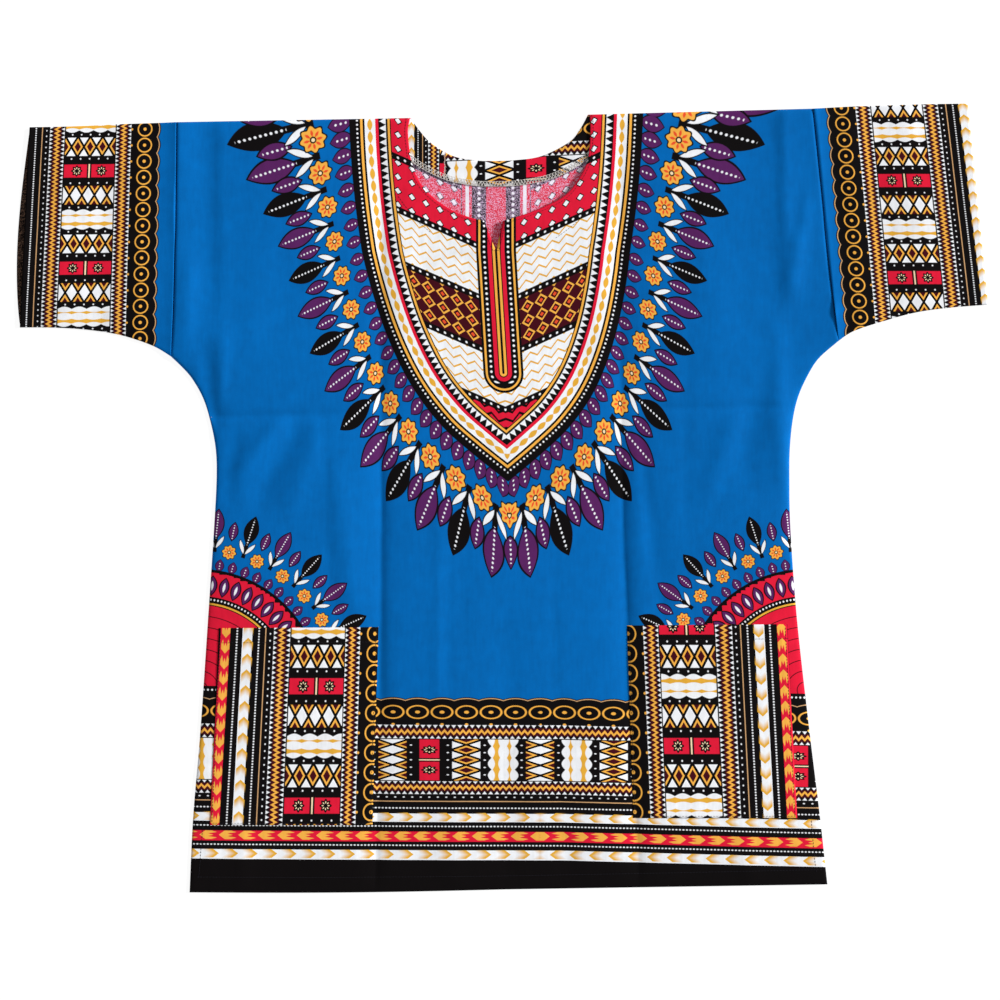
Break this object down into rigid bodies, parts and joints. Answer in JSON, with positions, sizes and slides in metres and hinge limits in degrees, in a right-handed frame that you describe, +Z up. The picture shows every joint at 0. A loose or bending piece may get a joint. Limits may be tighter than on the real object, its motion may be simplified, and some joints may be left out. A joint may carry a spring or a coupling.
{
  "type": "dashiki shirt",
  "caption": "Dashiki shirt laid flat: wide body with a slit round neck, short wide sleeves, patch pockets and printed borders.",
  "frame": {"origin": "middle of the laid-out shirt, on the surface it lies on", "axes": "+X across the shirt from the picture's left sleeve to its right one, +Y from the hem to the neck, +Z up off the surface"},
  "size_m": [0.9716, 0.7895, 0.0066],
  "materials": {
    "back_print": "plain-woven cotton with a wax print, soft sheen",
    "front_print": "plain-woven cotton with a wax print, soft sheen",
    "sleeve_print": "plain-woven cotton with a wax print, soft sheen",
    "facing_print": "plain-woven cotton with a wax print, overlocked edge",
    "pocket_print": "plain-woven cotton with a wax print, soft sheen"
  },
  "bodies": {
    "root": {"back_body": "back_print", "front_body": "front_print", "left_sleeve": "sleeve_print", "right_sleeve": "sleeve_print", "back_neck_facing": "facing_print", "left_pocket": "pocket_print", "right_pocket": "pocket_print"}
  },
  "joints": []
}
